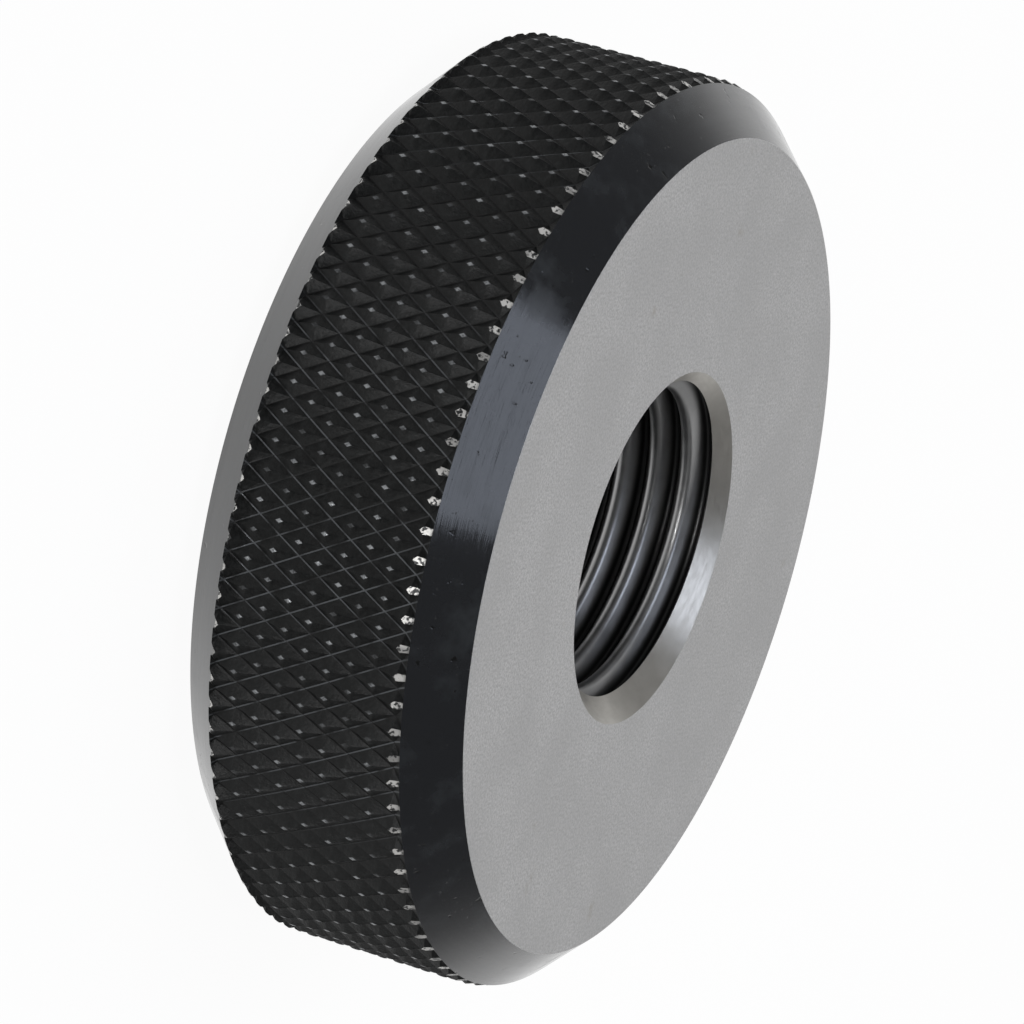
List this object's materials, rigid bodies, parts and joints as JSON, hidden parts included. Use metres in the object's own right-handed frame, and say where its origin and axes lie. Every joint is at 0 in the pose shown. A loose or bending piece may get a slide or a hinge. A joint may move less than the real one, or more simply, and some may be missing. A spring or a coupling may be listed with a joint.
{
  "type": "thread ring gauge",
  "caption": "Solid steel ring gauge with a countersunk threaded bore, bevelled edges and a diamond-knurled rim.",
  "frame": {"origin": "centre of the back face, on which the ring lies flat", "axes": "+Z along the ring's axis, from the back face to the front face"},
  "size_m": [0.038, 0.038, 0.012],
  "materials": {
    "gauge_steel": "hardened tool steel: ground matt grey faces, glossy black oxide on the bevels and the knurled rim, lapped thread"
  },
  "bodies": {
    "root": {"gauge_ring": "gauge_steel"}
  },
  "joints": []
}
